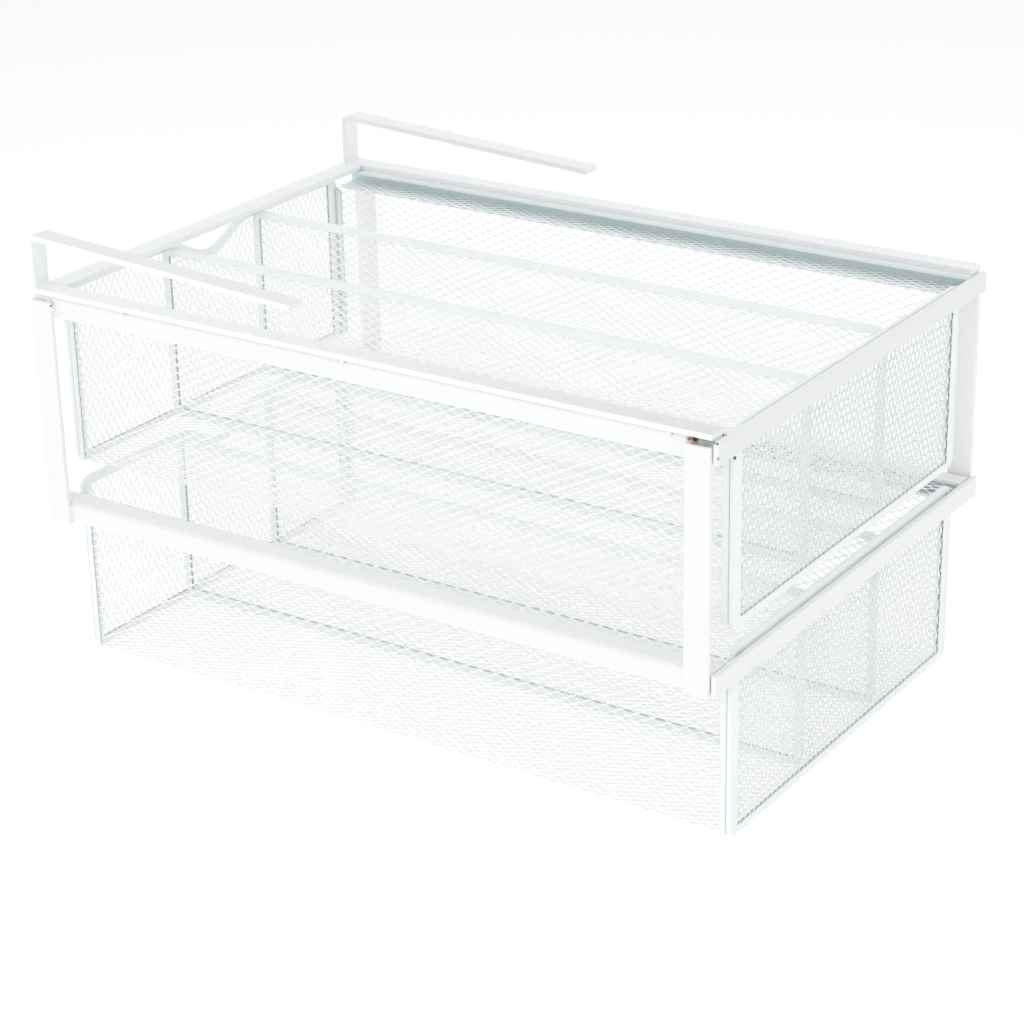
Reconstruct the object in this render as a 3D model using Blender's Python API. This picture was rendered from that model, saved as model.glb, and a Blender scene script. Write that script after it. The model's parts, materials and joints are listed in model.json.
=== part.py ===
"""Two-tier under-shelf organizer: a hanging steel frame with two pull-out mesh drawer baskets.

All lengths are in metres. X runs across the frame, the baskets pull out towards -Y, +Z is up.
The origin is at the middle of the base, on the surface that the lower basket stands on.
"""
import math

import bpy

# Frame, driving sizes
frame_width = 0.2530            # over the outer faces of the rails' webs
frame_depth = 0.3730            # from the hook legs' front faces to the rear bars' rear faces
tier_gap = 0.0084               # between the lower basket's rim and the upper basket's base
seat_gap = 0.0003               # between pieces that touch

# Rails: C-channels that open inwards
rail_height = 0.0110
rail_flange = 0.0110
rail_wall = 0.0018
rail_inner_radius = 0.0006      # inside of the two folds

# Posts: flat bars on the outside of the rails
post_width = 0.0125
post_thickness = 0.0025
post_top_drop = 0.0024          # from the upper rail's top down to the post's top

# Cross bars
front_bar_width = 0.0113
front_bar_thickness = 0.0028
front_bar_setback = 0.0009      # behind the hook legs' front faces
rear_bar_height = 0.0100
rear_bar_thickness = 0.0028
rear_bar_overhang = 0.0015      # past each rail's outer face
bar_edge = 0.0004               # rounding of the flat bars' edges

# Hook bars: each one flat bar, bent into a C that slides over a shelf board
hook_width = 0.0100
hook_thickness = 0.0028
hook_overhang = 0.0015          # past the rail's outer face
hook_inner_radius = 0.0017      # inside of the two bends
hook_heel_height = 0.0261       # arm's top over the lower leg's top, at the front
hook_tip_height = 0.0178        # the same at the arm's tip
hook_arm_length = 0.1550

# Basket body
basket_side_play = 0.0076       # between the basket's side and the tips of its rail
basket_front_setback = 0.0002   # front panel's face behind the hook legs' front faces
basket_rear_setback = 0.0038    # rear panel's face before the rear bars' rear faces
lip_height = 0.0843             # a lip's underside over the basket's base
lip_thickness = 0.0030          # a rolled edge
lip_side_play = 0.0008          # between a lip and its rail's web
rim_play = 0.0006               # between the upper rim and the front bar that it slides under
sheet_thickness = 0.0012        # over the expanded mesh's strands
floor_lift = 0.0008             # floor mesh's underside over the base

# Hems folded over the edges of the mesh
end_hem_side = 0.0070
end_hem_base = 0.0050
end_hem_rim = 0.0050
end_hem_thickness = 0.0023
rim_corner_radius = 0.0080
base_corner_radius = 0.0055
hem_inner_radius = 0.0012
side_hem_width = 0.0030
side_hem_thickness = 0.0018
scoop_half_width = 0.0340       # finger cut-out in the front rim
scoop_depth = 0.0125

# Dividers: two lengthwise walls
divider_spacing = 0.0720
divider_top_drop = 0.0012       # below the rim
divider_hem = 0.0041
divider_hem_thickness = 0.0023
divider_corner_radius = 0.0060

# Expanded mesh, with coarser cells than the real sheet's
strand_width = 0.0030
fold_strip = 0.0030             # plain margin of the floor mesh, where the sheet bends up
mesh_play = 0.0006              # between a mesh and the hem round it
side_cells = (7, 2)
floor_cells = (5, 4)
end_cells = (7, 2)
divider_cells = (6, 2)
scoop_steps = 16
corner_steps = 6
bend_steps = 9
cut_overrun = 0.0020

# Places and sizes worked out from the ones above
web_x = frame_width / 2
front_y = -frame_depth / 2
rear_y = frame_depth / 2
basket_width = 2 * (web_x - rail_flange - basket_side_play)
rail_rear_y = rear_y - rear_bar_thickness - seat_gap
rail_length = rail_rear_y - front_y
# The frame stands on the lower basket's lips, which touch its rails' upper flanges.
# The upper basket hangs with its lips on its rails' lower flanges.
lip_play = rail_height - 2 * (rail_wall + seat_gap) - lip_thickness
rail_top = lip_height + lip_thickness + seat_gap + rail_wall
rail_base = rail_top - rail_height
basket_height = rail_top + seat_gap - rim_play + lip_play
upper_lift = basket_height + tier_gap
rail_pitch = upper_lift + lip_play
basket_front_y = front_y + basket_front_setback
basket_rear_y = rear_y - basket_rear_setback
inside_front_y = basket_front_y + end_hem_thickness + seat_gap
inside_rear_y = basket_rear_y - end_hem_thickness - seat_gap
inside_middle_y = (inside_front_y + inside_rear_y) / 2
inside_length = inside_rear_y - inside_front_y
floor_top = floor_lift + sheet_thickness
wall_base = floor_top + seat_gap
wall_top = lip_height - seat_gap

# Turns a flat outline's own X and Y into world X and Z, or world Y and Z
stand_across = (math.pi / 2, 0, 0)
stand_lengthwise = (math.pi / 2, 0, math.pi / 2)
lie_flat = (0, 0, 0)

white_coat = (0.93, 0.95, 0.95, 1.0)
coat_roughness = 0.45


def clear_scene():
    """Removes everything that the scene starts with."""
    for thing in list(bpy.data.objects):
        bpy.data.objects.remove(thing)


def paint(piece):
    """Gives a piece its own white powder coat."""
    coat = bpy.data.materials.new(piece.name + "_coat")
    coat.use_nodes = True
    shader = coat.node_tree.nodes["Principled BSDF"]
    shader.inputs["Base Color"].default_value = white_coat
    shader.inputs["Roughness"].default_value = coat_roughness
    shader.inputs["Metallic"].default_value = 0
    piece.data.materials.append(coat)


def add_piece(name, points, faces, place, turn=lie_flat, parent=None):
    """Adds one painted object made of the given points and faces."""
    mesh = bpy.data.meshes.new(name)
    mesh.from_pydata(points, [], faces)
    piece = bpy.data.objects.new(name, mesh)
    bpy.context.scene.collection.objects.link(piece)
    piece.location = place
    piece.rotation_euler = turn
    piece.parent = parent
    paint(piece)
    return piece


def thicken(piece, thickness):
    """Gives a flat outline its thickness, half to each side."""
    solid = piece.modifiers.new("thickness", "SOLIDIFY")
    solid.thickness = thickness
    solid.offset = 0


def band(name, first_side, second_side, thickness, closed=False, **where):
    """A flat band between two lines of points that run side by side, given a thickness."""
    count = len(first_side)
    points = [(u, v, 0) for u, v in first_side + second_side]
    faces = []
    for here in range(count if closed else count - 1):
        after = (here + 1) % count
        faces.append((here, after, count + after, count + here))
    piece = add_piece(name, points, faces, **where)
    thicken(piece, thickness)
    return piece


def bar(name, low, high, parent=None):
    """A straight flat bar between two corners, with rounded edges."""
    middle = [(a + b) / 2 for a, b in zip(low, high)]
    half = [(b - a) / 2 for a, b in zip(low, high)]
    points = [(sx * half[0], sy * half[1], sz * half[2])
              for sz in (-1, 1) for sx, sy in ((-1, -1), (1, -1), (1, 1), (-1, 1))]
    faces = [(3, 2, 1, 0), (4, 5, 6, 7)]
    faces += [(k, (k + 1) % 4, (k + 1) % 4 + 4, k + 4) for k in range(4)]
    piece = add_piece(name, points, faces, middle, parent=parent)
    edge = piece.modifiers.new("edge", "BEVEL")
    edge.width = bar_edge
    edge.segments = 1
    return piece


def arc(centre, radius, start, end, steps):
    """Points along an arc, with its angles in degrees."""
    points = []
    for step in range(steps + 1):
        angle = math.radians(start + (end - start) * step / steps)
        points.append((centre[0] + radius * math.cos(angle), centre[1] + radius * math.sin(angle)))
    return points


def mirrored(points, side):
    """The same points on the left where side is -1."""
    return [(side * u, v) for u, v in points]


def scoop_line(high):
    """Points from right to left along an edge that dips by the finger scoop's smooth curve."""
    line = []
    for step in range(scoop_steps + 1):
        u = scoop_half_width * (1 - 2 * step / scoop_steps)
        dip = (1 + math.cos(math.pi * u / scoop_half_width)) / 2
        line.append((u, high - scoop_depth * dip))
    return line


def add_rail(name, side, base):
    """A C-channel that opens inwards, along the frame's side."""
    tip = web_x - rail_flange
    radius = rail_inner_radius + rail_wall
    low_corner = (web_x - radius, radius)
    high_corner = (web_x - radius, rail_height - radius)
    outer = [(tip, 0)] + arc(low_corner, radius, -90, 0, corner_steps)
    outer += arc(high_corner, radius, 0, 90, corner_steps) + [(tip, rail_height)]
    inner = [(tip, rail_wall)] + arc(low_corner, rail_inner_radius, -90, 0, corner_steps)
    inner += arc(high_corner, rail_inner_radius, 0, 90, corner_steps)
    inner += [(tip, rail_height - rail_wall)]
    band(name, mirrored(outer, side), mirrored(inner, side), rail_length,
         place=(0, (front_y + rail_rear_y) / 2, base), turn=stand_across)


def add_hook_bar(name, side):
    """A flat bar bent into a C: lower leg on the rail, heel at the front, arm over the shelf."""
    radius = hook_inner_radius + hook_thickness
    base = rail_pitch + rail_top + seat_gap
    low_corner = (front_y + radius, radius)
    high_corner = (front_y + radius, hook_thickness + hook_heel_height - radius)
    fall = math.atan2(hook_heel_height - hook_tip_height, hook_arm_length - radius)
    end = 90 - math.degrees(fall)
    reach = (hook_arm_length - radius) / math.cos(fall)
    outer = [(rail_rear_y, 0)] + arc(low_corner, radius, -90, -180, bend_steps)
    inner = [(rail_rear_y, hook_thickness)]
    inner += arc(low_corner, hook_inner_radius, -90, -180, bend_steps)
    outer += arc(high_corner, radius, 180, end, bend_steps)
    inner += arc(high_corner, hook_inner_radius, 180, end, bend_steps)
    for line in (outer, inner):
        u, v = line[-1]
        line.append((u + reach * math.cos(fall), v - reach * math.sin(fall)))
    middle = web_x + hook_overhang - hook_width / 2
    band(name, outer, inner, hook_width, place=(side * middle, 0, base), turn=stand_lengthwise)


def add_frame():
    """Rails, posts, cross bars and hook bars, welded together on the real frame."""
    sides = (("left", -1), ("right", 1))
    post_x = web_x + seat_gap
    upper_base = rail_pitch + rail_base
    upper_top = rail_pitch + rail_top
    for word, side in sides:
        add_hook_bar(word + "_hook_bar", side)
        add_rail("upper_" + word + "_rail", side, upper_base)
        add_rail("lower_" + word + "_rail", side, rail_base)
        near, far = sorted((side * post_x, side * (post_x + post_thickness)))
        for end, start_y in (("front", front_y), ("rear", rail_rear_y - post_width)):
            bar(end + "_" + word + "_post", (near, start_y, rail_base),
                (far, start_y + post_width, upper_top - post_top_drop))
    between_hooks = web_x + hook_overhang - hook_width - seat_gap
    bar("front_top_bar", (-between_hooks, front_y + front_bar_setback, upper_top + seat_gap),
        (between_hooks, front_y + front_bar_setback + front_bar_width,
         upper_top + seat_gap + front_bar_thickness))
    rear_half = web_x + rear_bar_overhang
    for name, top in (("rear_top_bar", upper_top), ("rear_lower_bar", rail_top)):
        bar(name, (-rear_half, rear_y - rear_bar_thickness, top - rear_bar_height),
            (rear_half, rear_y, top))


def outline(half_width, low, high, low_radius, high_radius, scoop=False):
    """A rounded rectangle, anticlockwise, whose top edge may dip in a smooth finger scoop."""
    points = arc((half_width - low_radius, low + low_radius), low_radius, -90, 0, corner_steps)
    points += arc((half_width - high_radius, high - high_radius), high_radius, 0, 90, corner_steps)
    if scoop:
        points += scoop_line(high)
    points += arc((high_radius - half_width, high - high_radius), high_radius, 90, 180, corner_steps)
    points += arc((low_radius - half_width, low + low_radius), low_radius, 180, 270, corner_steps)
    return points


def mesh_sheet(name, width, height, cells, strip=0.0, **where):
    """A flat sheet of expanded metal: a net of diamonds cut off square, from (0, 0) up.

    A strip is a plain margin along the two sides, where the sheet folds into its neighbours.
    """
    columns, rows = cells
    net_width = width - 2 * strip
    step_u = net_width / (2 * columns)
    step_v = height / (2 * rows)
    slope = math.atan2(step_v, step_u)
    tip_u = strand_width / 2 / math.sin(slope)
    tip_v = strand_width / 2 / math.cos(slope)
    last_i, last_j = 2 * columns, 2 * rows
    points, numbers, faces = [], {}, []

    def vertex(i, j, du=0, dv=0):
        """The number of a point at a bond, or at a hole's tip beside it."""
        key = (i, j, du, dv)
        if key not in numbers:
            numbers[key] = len(points)
            points.append((i * step_u + du * tip_u - net_width / 2, j * step_v + dv * tip_v, 0))
        return numbers[key]

    def margin(i, edge_u):
        """The plain strip from the net's side out to the sheet's edge."""
        steps = [(0, 0), (0, 1)]
        for j in range(2, last_j, 2):
            steps += [(j, -1), (j, 1)]
        steps += [(last_j, -1), (last_j, 0)]
        inner = [vertex(i, j, 0, dv) for j, dv in steps]
        outer = range(len(points), len(points) + len(inner))
        points.extend([(edge_u, points[number][1], 0) for number in inner])
        quads = list(zip(inner, outer, outer[1:], inner[1:]))
        return quads if edge_u > 0 else [tuple(reversed(quad)) for quad in quads]

    def bond(i, j):
        """The small face where strands cross, cut off at the sheet's edges."""
        at_corner = i in (0, last_i) and j in (0, last_j)
        ring = []
        for du, dv in ((1, 0), (0, 1), (-1, 0), (0, -1)):
            if 0 <= i + du <= last_i and 0 <= j + dv <= last_j:
                ring.append(vertex(i, j, du, dv))
            elif at_corner and vertex(i, j) not in ring:
                ring.append(vertex(i, j))
        return ring

    for i in range(last_i + 1):
        for j in range(i % 2, last_j + 1, 2):
            faces.append(bond(i, j))
            if i < last_i and j < last_j:
                faces.append((vertex(i, j, 1, 0), vertex(i + 1, j + 1, 0, -1),
                              vertex(i + 1, j + 1, -1, 0), vertex(i, j, 0, 1)))
            if i < last_i and j > 0:
                faces.append((vertex(i, j, 0, -1), vertex(i + 1, j - 1, -1, 0),
                              vertex(i + 1, j - 1, 0, 1), vertex(i, j, 1, 0)))
    if strip:
        faces += margin(0, -width / 2) + margin(last_i, width / 2)
    sheet = add_piece(name, points, faces, **where)
    thicken(sheet, sheet_thickness)
    return sheet


def cut_scoop(sheet, top, place, origin):
    """Cuts the finger scoop out of the front mesh, along the inner edge of its hem."""
    lower = scoop_line(top)
    upper = [(u, top + cut_overrun) for u, _ in lower]
    cutter = band(sheet.name + "_cutter", lower, upper, sheet_thickness + 2 * cut_overrun,
                  place=place, turn=stand_across, parent=origin)
    cutter.hide_render = True
    cutter.display_type = "WIRE"
    cut = sheet.modifiers.new("scoop", "BOOLEAN")
    cut.operation = "DIFFERENCE"
    cut.object = cutter


def add_end_panel(tier, end, face_y, scoop, origin):
    """A basket's front or rear: a mesh sheet with a hem folded over all four edges."""
    half = basket_width / 2
    outer = outline(half, 0, basket_height, base_corner_radius, rim_corner_radius, scoop)
    inner = outline(half - end_hem_side, end_hem_base, basket_height - end_hem_rim,
                    hem_inner_radius, hem_inner_radius, scoop)
    band(f"{tier}_{end}_hem", outer, inner, end_hem_thickness, closed=True,
         place=(0, face_y, 0), turn=stand_across, parent=origin)
    width = basket_width - 2 * (end_hem_side + mesh_play)
    height = basket_height - end_hem_base - end_hem_rim - 2 * mesh_play
    place = (0, face_y, end_hem_base + mesh_play)
    sheet = mesh_sheet(f"{tier}_{end}_mesh", width, height, end_cells,
                       place=place, turn=stand_across, parent=origin)
    if scoop:
        cut_scoop(sheet, height, place, origin)


def add_side(tier, word, side, origin):
    """A basket's side: a mesh wall with hemmed ends, under a lip that rides in the rail."""
    wall_x = side * (basket_width / 2 - side_hem_thickness / 2)
    wall_height = wall_top - wall_base
    mesh_length = inside_length - 2 * (side_hem_width + mesh_play)
    mesh_sheet(f"{tier}_{word}_side_mesh", mesh_length, wall_height, side_cells,
               place=(wall_x, inside_middle_y, wall_base), turn=stand_lengthwise, parent=origin)
    low_x = wall_x - side_hem_thickness / 2
    high_x = wall_x + side_hem_thickness / 2
    for end, start_y in (("front", inside_front_y), ("rear", inside_rear_y - side_hem_width)):
        bar(f"{tier}_{word}_{end}_side_hem", (low_x, start_y, wall_base),
            (high_x, start_y + side_hem_width, wall_top), parent=origin)
    lip_inner = basket_width / 2 - side_hem_thickness
    lip_outer = web_x - rail_wall - lip_side_play
    low_x, high_x = sorted((side * lip_inner, side * lip_outer))
    bar(f"{tier}_{word}_lip", (low_x, inside_front_y, lip_height),
        (high_x, inside_rear_y, lip_height + lip_thickness), parent=origin)


def add_divider(tier, word, side, origin):
    """A lengthwise wall between compartments: a mesh sheet in a rounded hem."""
    high = basket_height - divider_top_drop - wall_base
    half = inside_length / 2
    x = side * divider_spacing / 2
    outer = outline(half, 0, high, divider_corner_radius, divider_corner_radius)
    inner = outline(half - divider_hem, divider_hem, high - divider_hem,
                    hem_inner_radius, hem_inner_radius)
    place = (x, inside_middle_y, wall_base)
    band(f"{tier}_{word}_divider_hem", outer, inner, divider_hem_thickness, closed=True,
         place=place, turn=stand_lengthwise, parent=origin)
    margin = divider_hem + mesh_play
    mesh_sheet(f"{tier}_{word}_divider_mesh", inside_length - 2 * margin, high - 2 * margin,
               divider_cells, place=(x, inside_middle_y, wall_base + margin),
               turn=stand_lengthwise, parent=origin)


def add_basket(tier, base):
    """One pull-out basket, all of it under one empty that slides towards -Y."""
    origin = bpy.data.objects.new(tier + "_basket_origin", None)
    bpy.context.scene.collection.objects.link(origin)
    origin.location = (0, 0, base)
    half_hem = end_hem_thickness / 2
    add_end_panel(tier, "front", basket_front_y + half_hem, True, origin)
    add_end_panel(tier, "rear", basket_rear_y - half_hem, False, origin)
    floor_width = basket_width - side_hem_thickness + sheet_thickness
    mesh_sheet(f"{tier}_floor_mesh", floor_width, inside_length, floor_cells, strip=fold_strip,
               place=(0, inside_front_y, floor_lift + sheet_thickness / 2), parent=origin)
    for word, side in (("left", -1), ("right", 1)):
        add_side(tier, word, side, origin)
        add_divider(tier, word, side, origin)


clear_scene()
add_frame()
add_basket("lower", 0)
add_basket("upper", upper_lift)
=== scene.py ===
"""Looks of the two-tier under-shelf organizer: white powder coat on bars, hems and expanded mesh.

All lengths are in metres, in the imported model's frame: X runs across, the baskets pull out towards
-Y and +Z is up. The fine mesh is drawn strand by strand, and the hems are folded strips round it.
"""
import itertools
import json
import math
import random

import bmesh
import bpy
import numpy as np
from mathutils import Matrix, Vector


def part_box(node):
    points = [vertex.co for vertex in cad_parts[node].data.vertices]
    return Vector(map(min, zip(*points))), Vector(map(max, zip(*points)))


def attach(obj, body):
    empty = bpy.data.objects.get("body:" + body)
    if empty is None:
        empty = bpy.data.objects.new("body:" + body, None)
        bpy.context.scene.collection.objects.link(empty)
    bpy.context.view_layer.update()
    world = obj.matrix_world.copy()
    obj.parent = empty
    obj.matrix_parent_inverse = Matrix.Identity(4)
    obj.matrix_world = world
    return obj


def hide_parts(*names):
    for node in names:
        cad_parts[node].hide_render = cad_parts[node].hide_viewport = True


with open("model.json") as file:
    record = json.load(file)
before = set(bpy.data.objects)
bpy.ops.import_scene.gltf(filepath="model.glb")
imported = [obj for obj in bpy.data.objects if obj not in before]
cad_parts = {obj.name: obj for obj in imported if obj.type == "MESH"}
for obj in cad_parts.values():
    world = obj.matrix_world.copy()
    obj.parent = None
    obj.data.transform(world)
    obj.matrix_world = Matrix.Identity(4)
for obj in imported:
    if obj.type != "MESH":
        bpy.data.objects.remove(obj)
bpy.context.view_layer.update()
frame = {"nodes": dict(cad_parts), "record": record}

# Expanded mesh, as on the real sheets. Each strand has half its width and its tilt out of the sheet.
long_pitch = 0.0082             # from bond to bond along a diamond's long way
short_pitch = 0.0042
bond_length = 0.0013
strand_thickness = 0.00028
side_strand = (0.00046, math.radians(-26))
lip_strand = (0.00052, math.radians(-6))        # flattened where the sheet lies in the rail
front_strand = (0.00058, math.radians(20))
rear_strand = (0.00088, math.radians(47))
rear_strand_thickness = 0.00034
divider_strand = (0.00050, math.radians(-20))
lip_bend_radius = 0.0016
floor_bend_radius = 0.0032
bend_steps = 8

# Hems: strips folded over the mesh's edges
fold_wall = 0.00055
fold_slot_depth = 0.0030
mesh_reach = fold_slot_depth * 0.8      # how far a mesh runs in under its hem
fold_bulge = 0.00054            # of the folded edge
fold_edge = 0.000225            # the rounding of the strip's cut edge
fold_turns = (0, 35, 65, 90)    # degrees round the fold
hem_corner_steps = 7
scoop_steps = 24
scoop_half_width = 0.0340
scoop_depth = 0.0125
hem_inner_radius = 0.0012
inner_radius_growth = 0.2       # with the inset
divider_corner_radius = 0.0060
divider_hem = 0.0041
end_hem_side = 0.0070
end_hem_base = 0.0040
end_hem_rim = 0.0050
rim_corner_radius = 0.0080
base_corner_radius = 0.0055

# Bars and rails
edge_round = 0.0004
edge_segments = 3
edge_angle = math.radians(32)
flat_angle = math.radians(1)    # between faces that are dissolved into one
smooth_angle = math.radians(40)
post_width = 0.0125
channel_wall = 0.0018
hook_bar_thickness = 0.0028

# Welds and filled seams
weld_radius = 0.0009
post_weld_radius = 0.00072
bar_weld_radius = 0.00063
corner_weld_radius = 0.00117
corner_weld_stand = 0.00162     # from the post's face
corner_weld_drop = 0.00405
seam_gap = 0.0003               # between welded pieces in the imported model
seam_depth = 0.0003             # how far a filled seam lies behind the faces
seam_overlap = 0.0002
tack_radius = 0.0011
tack_places = (-0.1310, -0.0039, 0.1628)
tack_rise = 0.0022              # of a tack's top over its rail
tack_drop = 0.0045
bead_around = 10
bead_rings = 2.5                # for each radius of length
least_bead_rings = 6
bead_end, bead_swell = 0.65, 2.5        # a bead's radius at its ends, as a share, and its growth
bead_cap = 0.6                  # how far its tips stand out, as a share of its radius
ripple_height, ripple_pitch = 0.14, 4.0
ring_scatter, point_scatter = 0.07, 0.05

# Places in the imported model
basket_tiers = ("lower", "upper")
sides = (("left", -1), ("right", 1))
hem_low, hem_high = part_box("lower_front_hem")
rear_hem_low, rear_hem_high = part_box("lower_rear_hem")
side_low, side_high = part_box("lower_right_side_mesh")
lip_low, lip_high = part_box("lower_right_lip")
floor_low, floor_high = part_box("lower_floor_mesh")
divider_low, divider_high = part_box("lower_right_divider_hem")
upper_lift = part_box("upper_front_hem")[0].z - hem_low.z
rail_low, rail_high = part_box("upper_right_rail")
rail_pitch = rail_low.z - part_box("lower_right_rail")[0].z
leg_top = rail_high.z + seam_gap + hook_bar_thickness

# Powder coat: colours as a pair, light and dull, that change in faint clouds
bar_colours = ((0.892, 0.899, 0.896, 1.0), (0.877, 0.885, 0.882, 1.0))
# The hook bars' and front top bar's pair, the front hems' pair and the mesh's pair are lighter copies of
# the one white coat: painted light.
lit_hook_colours = ((0.935, 0.950, 0.948, 1.0), (0.918, 0.934, 0.932, 1.0))
hem_colours = ((0.905, 0.938, 0.936, 1.0), (0.885, 0.922, 0.920, 1.0))
lit_front_hem_colours = ((0.955, 0.975, 0.975, 1.0), (0.940, 0.962, 0.962, 1.0))
lit_mesh_colours = ((0.982, 0.988, 0.986, 1.0), (0.970, 0.978, 0.976, 1.0))
cloud_scale, roughness_scale = 26.0, 75.0       # textures' scales, for each metre
sag_scale, peel_scale, ragged_scale = 140.0, 900.0, 1400.0
noise_middle = (0.3, 0.7)       # the part of a noise's range that is used
roughness_range = (0.36, 0.50)
sag_strength, sag_height = 0.25, 0.0004
bar_peel, sheet_peel, peel_height = 0.35, 0.30, 0.00008

# Painted shade: darker tints in the rails' hollows, on faces turned from the light, and along the near
# hook bar's top
channel_shade_tone = (0.81, 0.90, 0.91, 1.0)
rail_tip_shade_tone = (0.73, 0.81, 0.83, 1.0)
leg_side_shade_tone = (0.79, 0.81, 0.825, 1.0)
top_shade_tone = (0.80, 0.80, 0.79, 1.0)
rear_strand_shade_tone = (0.69, 0.73, 0.73, 1.0)
rear_bar_shade_tone = (0.835, 0.848, 0.846, 1.0)
facing_fade = (0.6, 0.9)        # of a normal's part, from none of a tint to all of it
strand_facing_fade = (0.1, 0.5)
strand_height_fade = (0.05, 0.13)       # half of the tint below, all of it above
leg_shade_fade = (-0.06, 0.18)  # along the near leg
arm_shade_share = 0.45

# Rust, bare pits and a spot of painted shade: each has its centre, its three radii, a fringe and a core
# colour
rust = (0.30, 0.18, 0.12, 1.0)
pale_rust = (0.72, 0.58, 0.50, 1.0)
bare_black = (0.020, 0.015, 0.012, 1.0)
bare_grey = (0.16, 0.15, 0.14, 1.0)
recess_shade_grey = (0.40, 0.48, 0.50, 1.0)
pit_grey = (0.42, 0.41, 0.39, 1.0)
frame_spots = (
    # The first spot is painted shade in the recess between the near-rear post's top and the hook leg.
    ((0.1265, 0.1800, 0.1930), (0.004, 0.0048, 0.0016), recess_shade_grey, recess_shade_grey),
    ((0.1265, 0.1757, 0.1922), (0.004, 0.0030, 0.0007), pale_rust, pale_rust),
    ((0.1265, 0.1719, 0.1931), (0.004, 0.0018, 0.0012), pale_rust, rust),
    ((0.1265, 0.1746, 0.1936), (0.004, 0.0024, 0.0019), rust, bare_black),
    ((0.1176, 0.1833, 0.1973), (0.0012, 0.0012, 0.0012), bare_grey, bare_black),
    ((0.1185, 0.1838, 0.1945), (0.0011, 0.0011, 0.0011), bare_grey, bare_black),
    ((0.1280, 0.1839, 0.1943), (0.0010, 0.0010, 0.0010), bare_grey, bare_black),
    ((0.1280, 0.1857, 0.1943), (0.0008, 0.0008, 0.0008), bare_grey, bare_grey),
    ((0.1280, 0.1863, 0.1878), (0.0009, 0.0009, 0.0009), pit_grey, pit_grey),
    ((0.1285, -0.1740, 0.1907), (0.0016, 0.0004, 0.0004), bare_grey, bare_black),
)
hem_spots = (((0.1074, 0.1827, 0.1803), (0.0010, 0.0010, 0.0010), bare_grey, bare_black),)
raggedness = 0.4                # of a stain's outline, as a share of its radii
fringe_reach, fringe_share = (1.1, 0.6), 0.85
core_reach = (0.7, 0.45)

# The table, the room's light and one lamp
table_reach = 12.0
table_drop = 0.0003             # keeps the table clear of the lower basket's base
table_colour = (0.97, 0.975, 0.975, 1.0)
table_glow_share = 0.90
table_light = 0.28              # the photograph's table lights the object from below
white = (1.0, 1.0, 1.0, 1.0)
far_table_colour = (0.890, 0.890, 0.870, 1.0)
far_table = (0.7, 2.0)          # from where to where the table turns to its far colour
room_colour = (0.992, 0.998, 1.0, 1.0)
room_strengths = (0.88, 0.98)   # at the horizon and overhead
rear_share = 0.80               # of the room's light, from straight behind the rear bars
lamp_place, lamp_size, lamp_power = (2.2, 0.5, 1.3), 1.6, 5.2
lamp_target = (0, 0, 0.1)

# The camera, from a fit to the frame's straight edges in the photograph
camera_place = (1.02512, 0.69317, 0.60670)
camera_degrees = (66.7911, 1.1233, 123.5927)
camera_lens = 96.599
camera_sensor = 36.0
camera_shift = (-0.0021, 0.0001)


# Materials


def link(tree, source, target):
    """Joins an output socket to an input socket."""
    tree.links.new(source, target)


def coordinates(tree, kind):
    """A point's coordinates of one kind."""
    return tree.nodes.new("ShaderNodeTexCoord").outputs[kind]


def split(tree, vector):
    """A vector's parts, by the names X, Y and Z."""
    node = tree.nodes.new("ShaderNodeSeparateXYZ")
    link(tree, vector, node.inputs[0])
    return node.outputs


def vector_step(tree, operation, vector, other=None):
    """A vector after one operation with a constant, or its length."""
    node = tree.nodes.new("ShaderNodeVectorMath")
    node.operation = operation
    link(tree, vector, node.inputs[0])
    if other is not None:
        node.inputs[1].default_value = other
    return node.outputs["Value" if operation == "LENGTH" else "Vector"]


def combine(tree, operation, first, second):
    """Two values put together by one arithmetic operation."""
    node = tree.nodes.new("ShaderNodeMath")
    node.operation = operation
    for socket, value in zip(node.inputs, (first, second)):
        if isinstance(value, float):
            socket.default_value = value
        else:
            link(tree, value, socket)
    return node.outputs[0]


def product(tree, value, *factors):
    """Values multiplied together."""
    for factor in factors:
        value = combine(tree, "MULTIPLY", value, factor)
    return value


def noise(tree, place, scale, detail=2.0):
    """A noise texture's value over the piece's own coordinates."""
    node = tree.nodes.new("ShaderNodeTexNoise")
    node.inputs["Scale"].default_value = scale
    node.inputs["Detail"].default_value = detail
    node.inputs["Roughness"].default_value = 0.5
    link(tree, place, node.inputs["Vector"])
    return node.outputs["Fac"]


def remap(tree, value, low, high, to_low=0.0, to_high=1.0):
    """A value taken from one range to another, and held to the new range's ends."""
    node = tree.nodes.new("ShaderNodeMapRange")
    for name, number in (("From Min", low), ("From Max", high),
                         ("To Min", to_low), ("To Max", to_high)):
        node.inputs[name].default_value = number
    link(tree, value, node.inputs["Value"])
    return node.outputs["Result"]


def within(tree, value, low, high, fade):
    """One between two limits and zero outside them, with soft edges."""
    return product(tree, remap(tree, value, low - fade, low + fade),
                   remap(tree, value, high - fade, high + fade, 1.0, 0.0))


def blend_colours(tree, share, first, second):
    """A colour between two others, each of them a colour or a socket."""
    node = tree.nodes.new("ShaderNodeMix")
    node.data_type = "RGBA"
    link(tree, share, node.inputs["Factor"])
    for socket, colour in ((node.inputs[6], first), (node.inputs[7], second)):
        if isinstance(colour, tuple):
            socket.default_value = colour
        else:
            link(tree, colour, socket)
    return node.outputs[2]


def bump(tree, height, strength, distance, under=None):
    """A bumped normal, over another one where there is one."""
    node = tree.nodes.new("ShaderNodeBump")
    node.inputs["Strength"].default_value = strength
    node.inputs["Distance"].default_value = distance
    link(tree, height, node.inputs["Height"])
    if under is not None:
        link(tree, under, node.inputs["Normal"])
    return node.outputs["Normal"]


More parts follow.
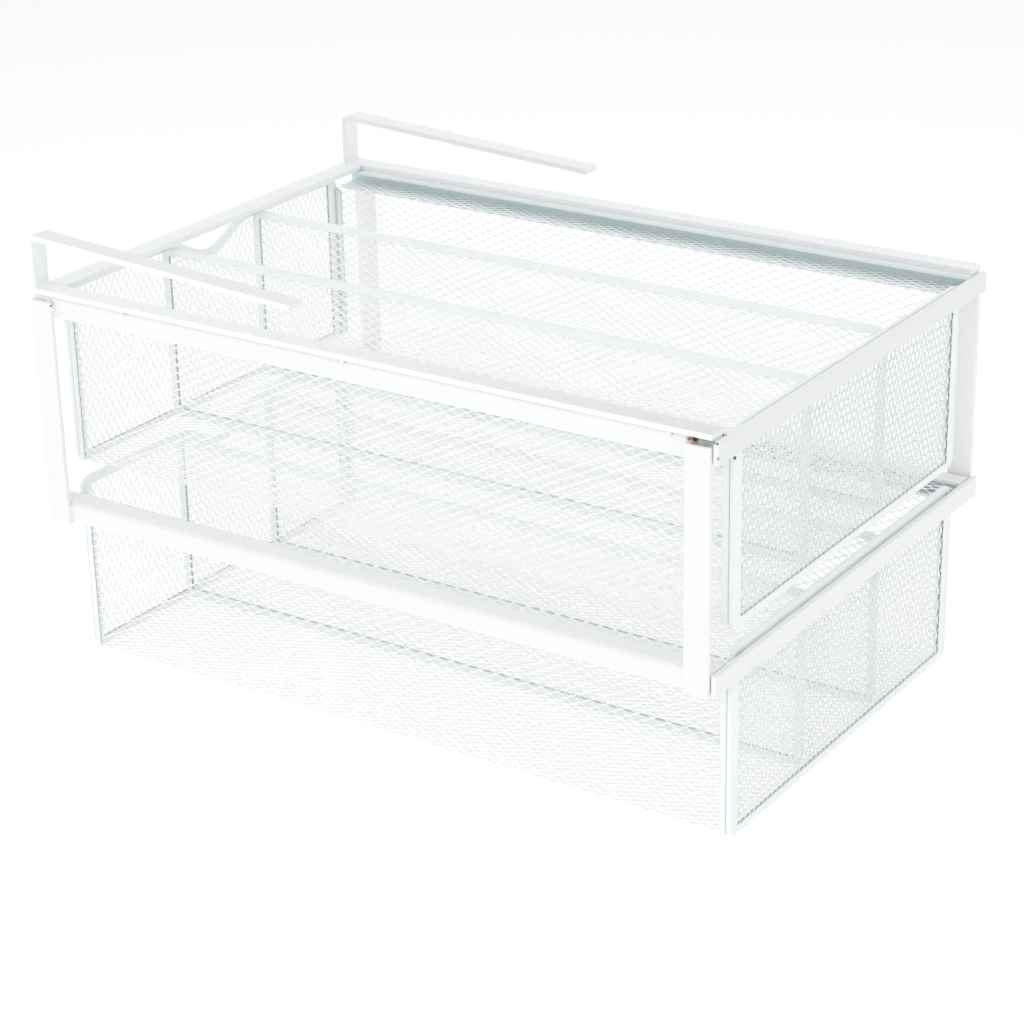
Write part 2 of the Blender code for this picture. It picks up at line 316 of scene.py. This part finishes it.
def stains_and_shade_spots(tree, place, colour, spots):
    """Ragged spots in the coat: rust, bare pits and painted shade."""
    uneven = remap(tree, noise(tree, place, ragged_scale, 3.0), 0.0, 1.0, -raggedness, raggedness)
    for centre, radii, fringe_colour, core_colour in spots:
        away = vector_step(tree, "SUBTRACT", place, centre)
        distance = vector_step(tree, "LENGTH", vector_step(tree, "DIVIDE", away, radii))
        reach = combine(tree, "ADD", distance, uneven)
        fringe = remap(tree, reach, *fringe_reach, 0.0, fringe_share)
        colour = blend_colours(tree, fringe, colour, fringe_colour)
        colour = blend_colours(tree, remap(tree, reach, *core_reach), colour, core_colour)
    return colour


def channel_shade(tree, place, colour):
    """Painted bluish shade in the hollow inside each rail."""
    parts = split(tree, place)
    across = combine(tree, "ABSOLUTE", parts["X"], 0.0)
    inset, fade = channel_wall * 0.8, channel_wall / 10
    for lift in (0.0, -rail_pitch):
        inside = product(tree, within(tree, across, 0.0, rail_high.x - channel_wall / 2, fade),
                         within(tree, parts["Z"], rail_low.z + lift + inset,
                                rail_high.z + lift - inset, fade))
        colour = blend_colours(tree, inside, colour, channel_shade_tone)
    return colour


def inward_face_shade(tree, place, colour, tone):
    """Painted shade on the narrow faces that look towards the object's middle plane."""
    side = combine(tree, "SIGN", split(tree, place)["X"], 0.0)
    inward = product(tree, side, split(tree, coordinates(tree, "Normal"))["X"], -1.0)
    return blend_colours(tree, remap(tree, inward, *facing_fade), colour, tone)


def rail_tip_shade(tree, place, colour):
    """Painted shade on the rails' inner edges."""
    return inward_face_shade(tree, place, colour, rail_tip_shade_tone)


def leg_side_shade(tree, place, colour):
    """Painted shade on the hook bars' inner edges."""
    return inward_face_shade(tree, place, colour, leg_side_shade_tone)


def shaded_tops(tree, place, colour):
    """Painted shade that greys the tops of the near arm, and of the near leg from the middle to its rear
    end.
    """
    parts = split(tree, place)
    upward = split(tree, coordinates(tree, "Normal"))["Z"]
    along_leg = product(tree, remap(tree, parts["Y"], *leg_shade_fade),
                        within(tree, parts["Z"], leg_top - 0.001, leg_top + 0.002, 0.0004))
    on_arm = remap(tree, parts["Z"], leg_top + 0.010, leg_top + 0.012, 0.0, arm_shade_share)
    share = product(tree, remap(tree, upward, *facing_fade),
                    remap(tree, parts["X"], 0.0, 0.01),
                    combine(tree, "MAXIMUM", along_leg, on_arm))
    return blend_colours(tree, share, colour, top_shade_tone)


def rear_strand_shade(tree, place, colour):
    """Painted shade on the strands' rear-facing faces, most of all in the upper basket."""
    rearward = split(tree, coordinates(tree, "Normal"))["Y"]
    share = product(tree, remap(tree, rearward, *strand_facing_fade),
                    remap(tree, split(tree, place)["Z"], *strand_height_fade, 0.5, 1.0))
    return blend_colours(tree, share, colour, rear_strand_shade_tone)


def rear_bar_shade(tree, place, colour):
    """Painted shade that greys the rear face of the rear top bar."""
    rearward = split(tree, coordinates(tree, "Normal"))["Y"]
    return blend_colours(tree, remap(tree, rearward, *facing_fade), colour, rear_bar_shade_tone)


def powder_coat(name, colours, peel, spots=(), tints=()):
    """White powder coat: faint clouds in its colour, orange peel, tints of painted shade, and ragged
    spots of rust, bare steel and painted shade.
    """
    light, dull = colours
    material = bpy.data.materials.new(name)
    material.use_nodes = True
    tree = material.node_tree
    shader = tree.nodes["Principled BSDF"]
    place = coordinates(tree, "Object")
    clouds = remap(tree, noise(tree, place, cloud_scale, 4.0), *noise_middle)
    colour = blend_colours(tree, clouds, dull, light)
    for tint in tints:
        colour = tint(tree, place, colour)
    if spots:
        colour = stains_and_shade_spots(tree, place, colour, spots)
    link(tree, colour, shader.inputs["Base Color"])
    rough = remap(tree, noise(tree, place, roughness_scale, 3.0), *noise_middle, *roughness_range)
    link(tree, rough, shader.inputs["Roughness"])
    sagging = bump(tree, noise(tree, place, sag_scale), sag_strength, sag_height)
    orange_peel = bump(tree, noise(tree, place, peel_scale), peel, peel_height, sagging)
    link(tree, orange_peel, shader.inputs["Normal"])
    shader.inputs["Metallic"].default_value = 0
    shader.inputs["IOR"].default_value = 1.5
    return material


# Shapes


def add_piece(name, points, faces, material):
    """A new mesh object made of points and faces."""
    mesh = bpy.data.meshes.new(name)
    mesh.from_pydata([tuple(p) for p in points], [], faces)
    mesh.materials.append(material)
    piece = bpy.data.objects.new(name, mesh)
    bpy.context.scene.collection.objects.link(piece)
    return piece


def settle(piece, body, slot, *replaced):
    """Puts a piece on its body and in place of CAD nodes, which it hides. The slot argument is not used.
    """
    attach(piece, body)
    if replaced:
        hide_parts(*replaced)
    return piece


def close_up(piece):
    """Merges doubled points, turns the faces outwards, and shades smoothly with sharp edges kept."""
    mesh = bmesh.new()
    mesh.from_mesh(piece.data)
    bmesh.ops.remove_doubles(mesh, verts=mesh.verts, dist=1e-7)
    bmesh.ops.recalc_face_normals(mesh, faces=mesh.faces)
    mesh.to_mesh(piece.data)
    mesh.free()
    piece.data.polygons.foreach_set("use_smooth", [True] * len(piece.data.polygons))
    piece.data.set_sharp_from_angle(angle=smooth_angle)


def arc(centre, radius, start, end, steps):
    """Points along an arc, with its angles in degrees."""
    points = []
    for step in range(steps + 1):
        angle = math.radians(start + (end - start) * step / steps)
        points.append((centre[0] + radius * math.cos(angle), centre[1] + radius * math.sin(angle)))
    return points


def rounded_copy(node, body, material):
    """A CAD bar, rail or hook bar with its edges softened by the coat."""
    mesh = bmesh.new()
    mesh.from_mesh(frame["nodes"][node].data)
    bmesh.ops.remove_doubles(mesh, verts=mesh.verts, dist=1e-6)
    bmesh.ops.dissolve_limit(mesh, angle_limit=flat_angle, verts=mesh.verts, edges=mesh.edges)
    data = bpy.data.meshes.new(node + "_coated")
    mesh.to_mesh(data)
    mesh.free()
    data.materials.append(material)
    piece = bpy.data.objects.new(node + "_coated", data)
    bpy.context.scene.collection.objects.link(piece)
    edges = piece.modifiers.new("edges", "BEVEL")
    edges.width = edge_round
    edges.segments = edge_segments
    edges.limit_method = "ANGLE"
    edges.angle_limit = edge_angle
    edges.use_clamp_overlap = True
    data.polygons.foreach_set("use_smooth", [True] * len(data.polygons))
    even = piece.modifiers.new("even", "WEIGHTED_NORMAL")
    even.keep_sharp = True
    return settle(piece, body, "frame_coat", node)


def scoop_height(u, high):
    """The height of an edge at u, where it dips by the finger scoop's smooth curve."""
    if abs(u) > scoop_half_width:
        return high
    return high - scoop_depth * (1 + math.cos(math.pi * u / scoop_half_width)) / 2


def outline(half_width, low, high, low_radius, high_radius, scoop=False):
    """A rounded rectangle, anticlockwise, whose top edge may dip in a smooth finger scoop."""
    steps = hem_corner_steps
    points = arc((half_width - low_radius, low + low_radius), low_radius, -90, 0, steps)
    points += arc((half_width - high_radius, high - high_radius), high_radius, 0, 90, steps)
    if scoop:
        for step in range(scoop_steps + 1):
            u = scoop_half_width * (1 - 2 * step / scoop_steps)
            points.append((u, scoop_height(u, high)))
    points += arc((high_radius - half_width, high - high_radius), high_radius, 90, 180, steps)
    points += arc((low_radius - half_width, low + low_radius), low_radius, 180, 270, steps)
    return points


def fold_section(thickness):
    """A folded strip's section: which line across the strip, how far from it, and how high.

    Line 0 is the strip's outer edge, where the fold is, and line 1 its inner edge.
    """
    half = thickness / 2
    slot = half - fold_wall
    turn = [(0, fold_bulge * (1 - math.cos(a)), half * math.sin(a))
            for a in map(math.radians, fold_turns)]
    upper = turn + [(1, -fold_edge, half), (1, 0, half - fold_edge), (1, 0, slot),
                    (1, -fold_slot_depth, slot)]
    lower = [(line, inset, -n) for line, inset, n in reversed(upper[1:])]
    return upper + lower


def fold_ring(name, thickness, make_outline, material, place):
    """A folded strip all round a panel. make_outline gives a line's points at an inset."""
    section = fold_section(thickness)
    rings = [[(u, v, n) for u, v in make_outline(line, inset)] for line, inset, n in section]
    stations = len(rings[0])
    points = [place(*point) for ring in rings for point in ring]
    faces = []
    for row in range(len(section)):
        after = (row + 1) % len(section)
        for here in range(stations):
            there = (here + 1) % stations
            faces.append((row * stations + here, row * stations + there,
                          after * stations + there, after * stations + here))
    piece = add_piece(name, points, faces, material)
    close_up(piece)
    return piece


def lattice(length, height, strand, keep=None, flat_ends=0.0):
    """Expanded mesh over a length by height field, with its long way along u.

    Each bond is a small tilted plate, and from its corners strands run to the four bonds round it.
    The strands are flattened over the flat ends of the height. keep(u, v) says whether a bond at
    that place is wanted. Returns points (u, v, n) and faces.
    """
    last_i = 2 * round(length / long_pitch)
    last_j = 2 * round(height / short_pitch)
    margin = strand[0]
    step_u = length / last_i
    step_v = (height - 2 * margin) / last_j
    points, faces, first = [], [], {}
    for i in range(last_i + 1):
        for j in range(i % 2, last_j + 1, 2):
            u, v = i * step_u, margin + j * step_v
            if keep is not None and not keep(u, v):
                continue
            width, tilt = lip_strand if min(v, height - v) < flat_ends else strand
            rise, lean = width * math.cos(tilt), width * math.sin(tilt)
            first[i, j] = len(points)
            left, right = max(u - bond_length / 2, 0), min(u + bond_length / 2, length)
            for end in (left, right):
                points += [(end, v - rise, -lean), (end, v, 0), (end, v + rise, lean)]
            k = first[i, j]
            faces.append((k, k + 3, k + 4, k + 5, k + 2, k + 1))
    for (i, j), k in first.items():
        up, down = first.get((i + 1, j + 1)), first.get((i + 1, j - 1))
        if up is not None:
            faces.append((k + 4, up, up + 1, k + 5))
        if down is not None:
            faces.append((k + 3, down + 1, down + 2, k + 4))
    return points, faces


def strands(name, points, faces, material, thickness=strand_thickness):
    """A lattice given its sheet's thickness."""
    piece = add_piece(name, points, faces, material)
    solid = piece.modifiers.new("thickness", "SOLIDIFY")
    solid.thickness = thickness
    solid.offset = 0
    return piece


def bent_line(corners, radii):
    """A line through rounded corners: the distance along it, the place and the normal."""
    places = [corners[0]]
    for before, corner, after, radius in zip(corners, corners[1:], corners[2:], radii):
        into = (corner - before) / np.linalg.norm(corner - before)
        out = (after - corner) / np.linalg.norm(after - corner)
        centre = corner - into * radius + out * radius
        for step in range(bend_steps + 1):
            angle = math.pi / 2 * step / bend_steps
            places.append(centre - out * radius * math.cos(angle) + into * radius * math.sin(angle))
    places = np.array(places + [corners[-1]])
    lengths = np.linalg.norm(np.diff(places, axis=0), axis=1)
    distance = np.concatenate([[0], np.cumsum(lengths)])
    along = np.gradient(places, distance, axis=0)
    along /= np.linalg.norm(along, axis=1)[:, None]
    normal = np.stack([-along[:, 1], along[:, 0]], axis=1)
    return distance, places, normal


# Baskets


def sheet_pieces():
    """The U-bent sheet: both lips, both sides and the floor, split where it bends into the floor."""
    wall_x = (side_low.x + side_high.x) / 2
    lip_z = (lip_low.z + lip_high.z) / 2
    floor_z = (floor_low.z + floor_high.z) / 2
    corners = [np.array(c) for c in (
        (lip_high.x, lip_z), (wall_x, lip_z), (wall_x, floor_z),
        (-wall_x, floor_z), (-wall_x, lip_z), (-lip_high.x, lip_z))]
    radii = (lip_bend_radius, floor_bend_radius, floor_bend_radius, lip_bend_radius)
    distance, places, normal = bent_line(corners, radii)
    length = floor_high.y - floor_low.y
    lip_width = lip_high.x - wall_x - lip_bend_radius
    points, faces = lattice(length, distance[-1], side_strand, flat_ends=lip_width)
    u, v, n = np.array(points).T
    x = np.interp(v, distance, places[:, 0]) + n * np.interp(v, distance, normal[:, 0])
    z = np.interp(v, distance, places[:, 1]) + n * np.interp(v, distance, normal[:, 1])
    bent = np.stack([x, floor_low.y + u, z], axis=1)
    split_low = lip_high.x - wall_x + lip_z - floor_z
    split_high = distance[-1] - split_low
    middle = np.array([v[list(face)].mean() for face in faces])
    parts = {}
    for word, wanted in (("right_side", middle < split_low), ("left_side", middle > split_high),
                         ("floor", (middle >= split_low) & (middle <= split_high))):
        chosen = [face for face, want in zip(faces, wanted) if want]
        used = sorted({number for face in chosen for number in face})
        again = {number: place for place, number in enumerate(used)}
        parts[word] = (bent[used], [tuple(again[number] for number in face) for face in chosen])
    return parts


def inner_radius(inset):
    """The radius at the corners of a hem's inner edge."""
    return max(hem_inner_radius + inset * inner_radius_growth, hem_inner_radius / 2)


def end_outline(scoop):
    """Gives the lines along an end panel's hem."""
    half, high = hem_high.x, hem_high.z - hem_low.z

    def line(which, inset):
        if which == 0:
            return outline(half - inset, inset, high - inset, base_corner_radius - inset,
                           rim_corner_radius - inset, scoop)
        return outline(half - end_hem_side - inset, end_hem_base + inset,
                       high - end_hem_rim - inset, inner_radius(inset), inner_radius(inset), scoop)
    return line


def divider_outline(which, inset):
    """Gives the lines along a divider's hem."""
    half = (divider_high.y - divider_low.y) / 2
    high = divider_high.z - divider_low.z
    if which == 0:
        radius = divider_corner_radius - inset
    else:
        radius = inner_radius(inset)
        inset += divider_hem
    return outline(half - inset, inset, high - inset, radius, radius)


def end_mesh(scoop, low, high, strand):
    """An end panel's mesh, whose long way stands upright, up to the hem's middle."""
    half = hem_high.x - end_hem_side + mesh_reach
    base = end_hem_base - mesh_reach
    top = hem_high.z - hem_low.z - end_hem_rim + mesh_reach
    middle_y = (low.y + high.y) / 2

    def wanted(u, v):
        return base + u < scoop_height(v - half, top)

    points, faces = lattice(top - base, 2 * half, strand, wanted if scoop else None)
    return [(v - half, middle_y + n, base + u) for u, v, n in points], [f[::-1] for f in faces]


def divider_mesh():
    """A divider's mesh, up to the middle of its hem, in the plane at X = 0."""
    margin = divider_hem - mesh_reach
    length = divider_high.y - divider_low.y - 2 * margin
    height = divider_high.z - divider_low.z - 2 * margin
    points, faces = lattice(length, height, divider_strand)
    low_y, low_z = divider_low.y + margin, divider_low.z + margin
    return [(n, low_y + u, low_z + v) for u, v, n in points], faces


def side_fold(name, low, high, towards, material):
    """A strip folded over the upright edge of a side wall: a channel that opens along Y."""
    middle_x, thickness = (low.x + high.x) / 2, high.x - low.x
    edge_y = low.y if towards > 0 else high.y
    width = high.y - low.y
    profile = [(middle_x + n, edge_y + towards * (inset if line == 0 else width + inset))
               for line, inset, n in fold_section(thickness)]
    count = len(profile)
    points = [(x, y, z) for z in (low.z, high.z) for x, y in profile]
    faces = [(k, (k + 1) % count, (k + 1) % count + count, k + count) for k in range(count)]
    faces += [tuple(range(count)), tuple(range(2 * count - 1, count - 1, -1))]
    piece = add_piece(name, points, faces, material)
    close_up(piece)
    return piece


def add_basket(tier, lift, sheet, coats):
    """One basket's pieces, each in place of its CAD node."""
    body = tier + "_basket"

    def add_strands(word, points, faces, coat, *replaced, x=0.0, thickness=strand_thickness):
        placed = [(x + px, py, pz + lift) for px, py, pz in points]
        piece = strands(f"{tier}_{word}_strands", placed, faces, coat, thickness)
        settle(piece, body, "mesh_coat", *(f"{tier}_{node}" for node in replaced))

    for word, side in sides:
        add_strands(word + "_side", *sheet[word + "_side"], coats["mesh"],
                    word + "_side_mesh", word + "_lip")
    add_strands("floor", *sheet["floor"], coats["mesh"], "floor_mesh")

    for end, scoop, low, high, strand, thickness, hem_coat, mesh_coat in (
            ("front", True, hem_low, hem_high, front_strand, strand_thickness,
             coats["front_hem"], coats["mesh"]),
            ("rear", False, rear_hem_low, rear_hem_high, rear_strand, rear_strand_thickness,
             coats["hem"], coats["rear_mesh"])):
        middle_y = (low.y + high.y) / 2
        piece = fold_ring(f"{tier}_{end}_fold", high.y - low.y, end_outline(scoop), hem_coat,
                          lambda u, v, n: (u, middle_y + n, v + lift))
        settle(piece, body, "hem_coat", f"{tier}_{end}_hem")
        add_strands(end, *end_mesh(scoop, low, high, strand), mesh_coat, end + "_mesh",
                    thickness=thickness)

    middle_y = (divider_low.y + divider_high.y) / 2
    points, faces = divider_mesh()
    for word, side in sides:
        x = side * (divider_low.x + divider_high.x) / 2
        piece = fold_ring(f"{tier}_{word}_divider_fold", divider_high.x - divider_low.x,
                          divider_outline, coats["hem"],
                          lambda u, v, n: (x + n, middle_y + u, divider_low.z + v + lift))
        settle(piece, body, "hem_coat", f"{tier}_{word}_divider_hem")
        add_strands(word + "_divider", points, faces, coats["mesh"], word + "_divider_mesh", x=x)
        for end, towards in (("front", 1), ("rear", -1)):
            node = f"{tier}_{word}_{end}_side_hem"
            piece = side_fold(f"{tier}_{word}_{end}_side_fold", *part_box(node), towards,
                              coats["hem"])
            settle(piece, body, "hem_coat", node)


# Frame


bead_seeds = itertools.count(1)


def bead(name, start, end, radius, material):
    """A lumpy weld bead from one point to another, round at both ends."""
    draw = random.Random(next(bead_seeds))
    start, end = Vector(start), Vector(end)
    along = end - start
    rings = max(least_bead_rings, round(along.length / radius * bead_rings))
    side = along.orthogonal().normalized()
    other = along.normalized().cross(side)
    points = [start - along.normalized() * radius * bead_cap]
    for ring in range(rings + 1):
        share = ring / rings
        swell = min(1.0, bead_end + bead_swell * min(share, 1 - share))
        ripple = 1 + ripple_height * math.sin(share * along.length / radius * ripple_pitch)
        reach = radius * swell * (ripple + draw.uniform(-ring_scatter, ring_scatter))
        centre = start + along * share
        for step in range(bead_around):
            turn = 2 * math.pi * step / bead_around
            wobble = reach * (1 + draw.uniform(-point_scatter, point_scatter))
            points.append(centre + (side * math.cos(turn) + other * math.sin(turn)) * wobble)
    points.append(end + along.normalized() * radius * bead_cap)
    turns = [(step, (step + 1) % bead_around) for step in range(bead_around)]
    faces = [(0, 1 + after, 1 + step) for step, after in turns]
    for base in range(1, 1 + rings * bead_around, bead_around):
        faces += [(base + step, base + after, base + bead_around + after,
                   base + bead_around + step) for step, after in turns]
    last, base = len(points) - 1, 1 + rings * bead_around
    faces += [(last, base + step, base + after) for step, after in turns]
    piece = add_piece(name, points, faces, material)
    close_up(piece)
    finer = piece.modifiers.new("finer", "SUBSURF")
    finer.levels = finer.render_levels = 1
    return settle(piece, "frame", "frame_coat")


def add_seam(name, first, second, material):
    """The filled seam between two welded pieces: a block between two opposite corners."""
    (x0, x1), (y0, y1), (z0, z1) = (sorted(pair) for pair in zip(first, second))
    points = [(x, y, z) for z in (z0, z1) for y in (y0, y1) for x in (x0, x1)]
    faces = [(0, 2, 3, 1), (4, 5, 7, 6), (0, 1, 5, 4), (2, 6, 7, 3), (0, 4, 6, 2), (1, 3, 7, 5)]
    settle(add_piece(name, points, faces, material), "frame", "frame_coat")


def add_frame(coats):
    """Bars, rails and hook bars, with the welds that join them."""
    for node in frame["record"]["behaviour"]["bodies"]["frame"]:
        chosen = coats["bar"]
        for word in ("rail", "hook", "front_top_bar", "rear_top_bar"):
            if word in node:
                chosen = coats[word]
        rounded_copy(node, "frame", chosen)
    for word, side in sides:
        add_side_welds(word, side, coats["bar"])


def add_side_welds(word, side, coat):
    """The welds and seams on one side of the frame."""
    low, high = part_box(f"upper_{word}_rail")
    web_x, tip_x = (pick(abs(low.x), abs(high.x)) * side for pick in (max, min))
    for end in ("front", "rear"):
        post_low, post_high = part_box(f"{end}_{word}_post")
        inner_y = post_high.y if end == "front" else post_low.y
        for tier, lift in (("upper", 0.0), ("lower", -rail_pitch)):
            low_z = low.z + lift + weld_radius
            high_z = min(high.z + lift, post_high.z) - weld_radius * 1.5
            bead(f"{tier}_{end}_{word}_post_weld", (web_x, inner_y, low_z),
                 (web_x, inner_y, high_z), post_weld_radius, coat)

    leg_low, leg_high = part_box(f"{word}_hook_bar")
    outer_x, inner_x = (pick(abs(leg_low.x), abs(leg_high.x)) * side for pick in (max, min))
    tack_top = high.z + tack_rise
    for number, tack_y in enumerate(tack_places):
        bead(f"hook_{word}_tack_{number}", (outer_x - side * tack_radius / 2, tack_y, tack_top),
             (web_x, tack_y, tack_top - tack_drop), tack_radius, coat)
    add_seam(f"hook_{word}_seam",
             (web_x - side * seam_depth, leg_low.y + post_width / 2, high.z - seam_overlap),
             (inner_x + side * seam_depth, leg_high.y - seam_depth,
              high.z + seam_gap + seam_overlap), coat)

    post_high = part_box(f"front_{word}_post")[1]
    bead(f"front_{word}_corner_weld",
         (web_x + side * corner_weld_stand, post_high.y - weld_radius * 2.5,
          post_high.z + weld_radius * 0.3),
         (web_x + side * weld_radius, post_high.y + weld_radius * 0.6,
          post_high.z - corner_weld_drop), corner_weld_radius, coat)

    bar_low, bar_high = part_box("front_top_bar")
    bead(f"front_top_{word}_weld",
         (bar_high.x * side, bar_low.y + weld_radius * 2, bar_high.z),
         (bar_high.x * side, bar_high.y - weld_radius * 2, bar_high.z), bar_weld_radius, coat)
    for name, lift in (("rear_top_bar", 0.0), ("rear_lower_bar", -rail_pitch)):
        bar_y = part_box(name)[0].y
        bead(f"{name}_{word}_weld", (tip_x + side * weld_radius, bar_y, low.z + lift),
             (web_x - side * weld_radius * 2, bar_y, low.z + lift), post_weld_radius, coat)


# Setting


def seen_straight(tree):
    """One for rays from the camera, and for what shows in gloss and glass."""
    path = tree.nodes.new("ShaderNodeLightPath")
    seen = combine(tree, "MAXIMUM", path.outputs["Is Camera Ray"], path.outputs["Is Glossy Ray"])
    return combine(tree, "MAXIMUM", seen, path.outputs["Is Transmission Ray"])


def mix_shaders(tree, share, first, second, output_kind):
    """A mix of two shaders, joined to the tree's output."""
    mix = tree.nodes.new("ShaderNodeMixShader")
    link(tree, share, mix.inputs["Fac"])
    link(tree, first.outputs[0], mix.inputs[1])
    link(tree, second.outputs[0], mix.inputs[2])
    link(tree, mix.outputs[0], tree.nodes.new(output_kind).inputs["Surface"])


def add_floor():
    """A pale table that shows near white, keeps the object's shadow and lights it from below."""
    material = bpy.data.materials.new("pale_floor")
    material.use_nodes = True
    tree = material.node_tree
    tree.nodes.clear()
    lit = tree.nodes.new("ShaderNodeBsdfDiffuse")
    lit.inputs["Color"].default_value = table_colour
    from_below = tree.nodes.new("ShaderNodeEmission")
    from_below.inputs["Strength"].default_value = table_light
    both = tree.nodes.new("ShaderNodeAddShader")
    link(tree, lit.outputs[0], both.inputs[0])
    link(tree, from_below.outputs[0], both.inputs[1])
    glow = tree.nodes.new("ShaderNodeEmission")
    glow.inputs["Strength"].default_value = 1.0
    distance = vector_step(tree, "LENGTH", coordinates(tree, "Object"))
    shown = blend_colours(tree, remap(tree, distance, *far_table), white, far_table_colour)
    link(tree, shown, glow.inputs["Color"])
    mix_shaders(tree, product(tree, seen_straight(tree), table_glow_share), both, glow,
                "ShaderNodeOutputMaterial")
    corners = [(x * table_reach, y * table_reach, 0) for x, y in ((-1, -1), (1, -1), (1, 1), (-1, 1))]
    floor = add_piece("floor", corners, [(0, 1, 2, 3)], material)
    floor.location.z = -table_drop


def add_lights():
    """An even white world, and one large soft lamp on the side that the photograph is lit from."""
    world = bpy.data.worlds.new("studio")
    bpy.context.scene.world = world
    world.use_nodes = True
    tree = world.node_tree
    tree.nodes.clear()
    room = tree.nodes.new("ShaderNodeBackground")
    room.inputs["Color"].default_value = room_colour
    parts = split(tree, coordinates(tree, "Generated"))
    strength = product(tree, remap(tree, parts["Z"], 0.0, 1.0, *room_strengths),
                       remap(tree, parts["Y"], 0.0, 1.0, 1.0, rear_share))
    link(tree, strength, room.inputs["Strength"])
    backdrop = tree.nodes.new("ShaderNodeBackground")
    backdrop.inputs["Color"].default_value = white
    mix_shaders(tree, seen_straight(tree), room, backdrop, "ShaderNodeOutputWorld")

    lamp = bpy.data.lights.new("key", "AREA")
    lamp.shape = "RECTANGLE"
    lamp.size = lamp.size_y = lamp_size
    lamp.energy = lamp_power
    holder = bpy.data.objects.new("key", lamp)
    bpy.context.scene.collection.objects.link(holder)
    holder.location = lamp_place
    ahead = Vector(lamp_target) - Vector(lamp_place)
    holder.rotation_euler = ahead.to_track_quat("-Z", "Y").to_euler()


def add_camera():
    """The photograph's own view."""
    camera = bpy.data.cameras.new("photo_view")
    camera.lens = camera_lens
    camera.sensor_width = camera_sensor
    camera.shift_x, camera.shift_y = camera_shift
    holder = bpy.data.objects.new("photo_view", camera)
    bpy.context.scene.collection.objects.link(holder)
    holder.location = camera_place
    holder.rotation_euler = [math.radians(angle) for angle in camera_degrees]
    bpy.context.scene.camera = holder


coats = {
    "bar": powder_coat("bar_coat", bar_colours, bar_peel, frame_spots),
    "rail": powder_coat("rail_coat", bar_colours, bar_peel, frame_spots, (rail_tip_shade, channel_shade)),
    "hook": powder_coat("hook_coat", lit_hook_colours, bar_peel, frame_spots, (leg_side_shade, shaded_tops)),
    "front_top_bar": powder_coat("front_coat", lit_hook_colours, bar_peel),
    "rear_top_bar": powder_coat("rear_coat", bar_colours, bar_peel, frame_spots, (rear_bar_shade,)),
    "hem": powder_coat("hem_coat", hem_colours, sheet_peel, hem_spots),
    "front_hem": powder_coat("front_hem_coat", lit_front_hem_colours, sheet_peel),
    "mesh": powder_coat("mesh_coat", lit_mesh_colours, sheet_peel),
    "rear_mesh": powder_coat("rear_mesh_coat", lit_mesh_colours, sheet_peel, tints=(rear_strand_shade,)),
}
add_frame(coats)
sheet = sheet_pieces()
for tier, lift in zip(basket_tiers, (0.0, upper_lift)):
    add_basket(tier, lift, sheet, coats)
add_floor()
add_lights()
add_camera()
bpy.context.scene.view_settings.view_transform = "Standard"
